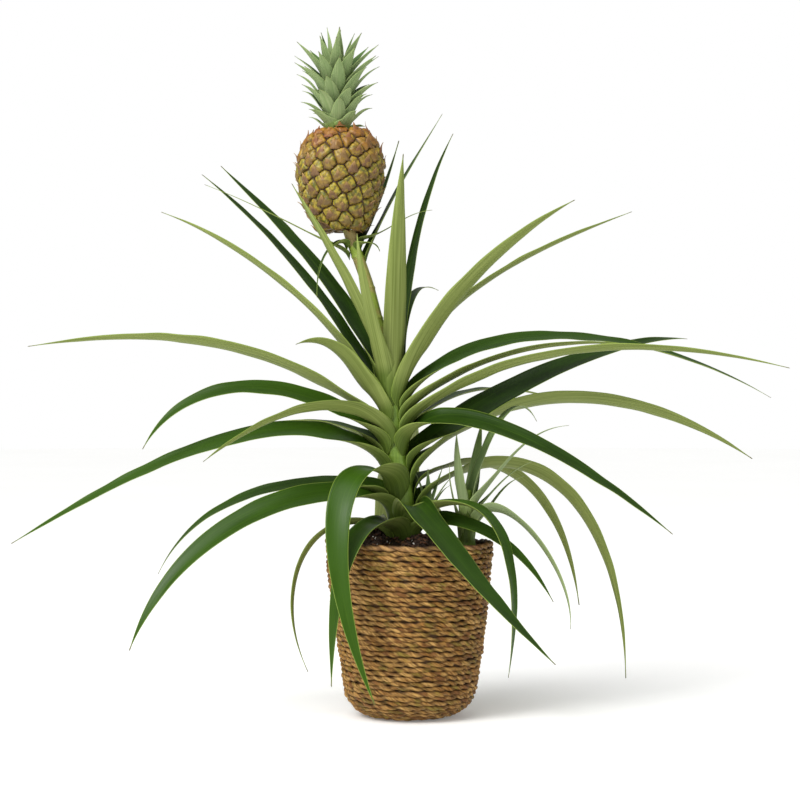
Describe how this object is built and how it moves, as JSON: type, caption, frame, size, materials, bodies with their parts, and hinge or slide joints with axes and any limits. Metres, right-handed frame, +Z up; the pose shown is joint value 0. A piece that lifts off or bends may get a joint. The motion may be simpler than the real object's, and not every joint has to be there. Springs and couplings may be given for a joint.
{
  "type": "pineapple plant in a basket",
  "caption": "Potted miniature pineapple plant with long arching leaves, a small crowned fruit on a stalk and a side shoot, standing in a round seagrass basket.",
  "frame": {"origin": "middle of the basket's flat foot, on the surface it stands on", "axes": "+Z up along the basket; the front, with the fruit to its left and the side shoot to its right, faces -Y"},
  "size_m": [0.6122, 0.3933, 0.5494],
  "materials": {
    "seagrass": "matte",
    "black_plastic": "satin",
    "potting_soil": "matte",
    "stem_tissue": "satin",
    "leaf": "satin",
    "bract": "satin",
    "pup_leaf": "satin",
    "fruit_rind": "satin",
    "crown_leaf": "matte"
  },
  "bodies": {
    "root": {"basket": "seagrass", "crown": "crown_leaf", "fruit": "fruit_rind", "fruit_stalk": "stem_tissue", "low_leaf_01": "leaf", "low_leaf_02": "leaf", "low_leaf_03": "leaf", "low_leaf_04": "leaf", "low_leaf_05": "leaf", "low_leaf_06": "leaf", "low_leaf_07": "leaf", "low_leaf_08": "leaf", "low_leaf_09": "leaf", "low_leaf_10": "leaf", "low_leaf_11": "leaf", "low_leaf_12": "leaf", "low_leaf_13": "leaf", "middle_leaf_01": "leaf", "middle_leaf_02": "leaf", "middle_leaf_03": "leaf", "middle_leaf_04": "leaf", "middle_leaf_05": "leaf", "middle_leaf_06": "leaf", "middle_leaf_07": "leaf", "middle_leaf_08": "leaf", "middle_leaf_09": "leaf", "middle_leaf_10": "leaf", "middle_leaf_11": "leaf", "middle_leaf_12": "leaf", "middle_leaf_13": "leaf", "nursery_pot": "black_plastic", "pup_leaf_01": "pup_leaf", "pup_leaf_02": "pup_leaf", "pup_leaf_03": "pup_leaf", "pup_leaf_04": "pup_leaf", "pup_leaf_05": "pup_leaf", "pup_leaf_06": "pup_leaf", "pup_leaf_07": "pup_leaf", "pup_leaf_08": "pup_leaf", "pup_stem": "pup_leaf", "soil": "potting_soil", "stalk_bract_01": "bract", "stalk_bract_02": "bract", "stalk_bract_03": "bract", "stalk_bract_04": "bract", "stalk_bract_05": "bract", "stalk_bract_06": "bract", "stem": "stem_tissue", "upright_leaf_01": "leaf", "upright_leaf_02": "leaf", "upright_leaf_03": "leaf", "upright_leaf_04": "leaf", "upright_leaf_05": "leaf", "upright_leaf_06": "leaf", "upright_leaf_07": "leaf", "upright_leaf_08": "leaf", "upright_leaf_09": "leaf", "upright_leaf_10": "leaf", "upright_leaf_11": "leaf", "upright_leaf_12": "leaf"}
  },
  "joints": []
}
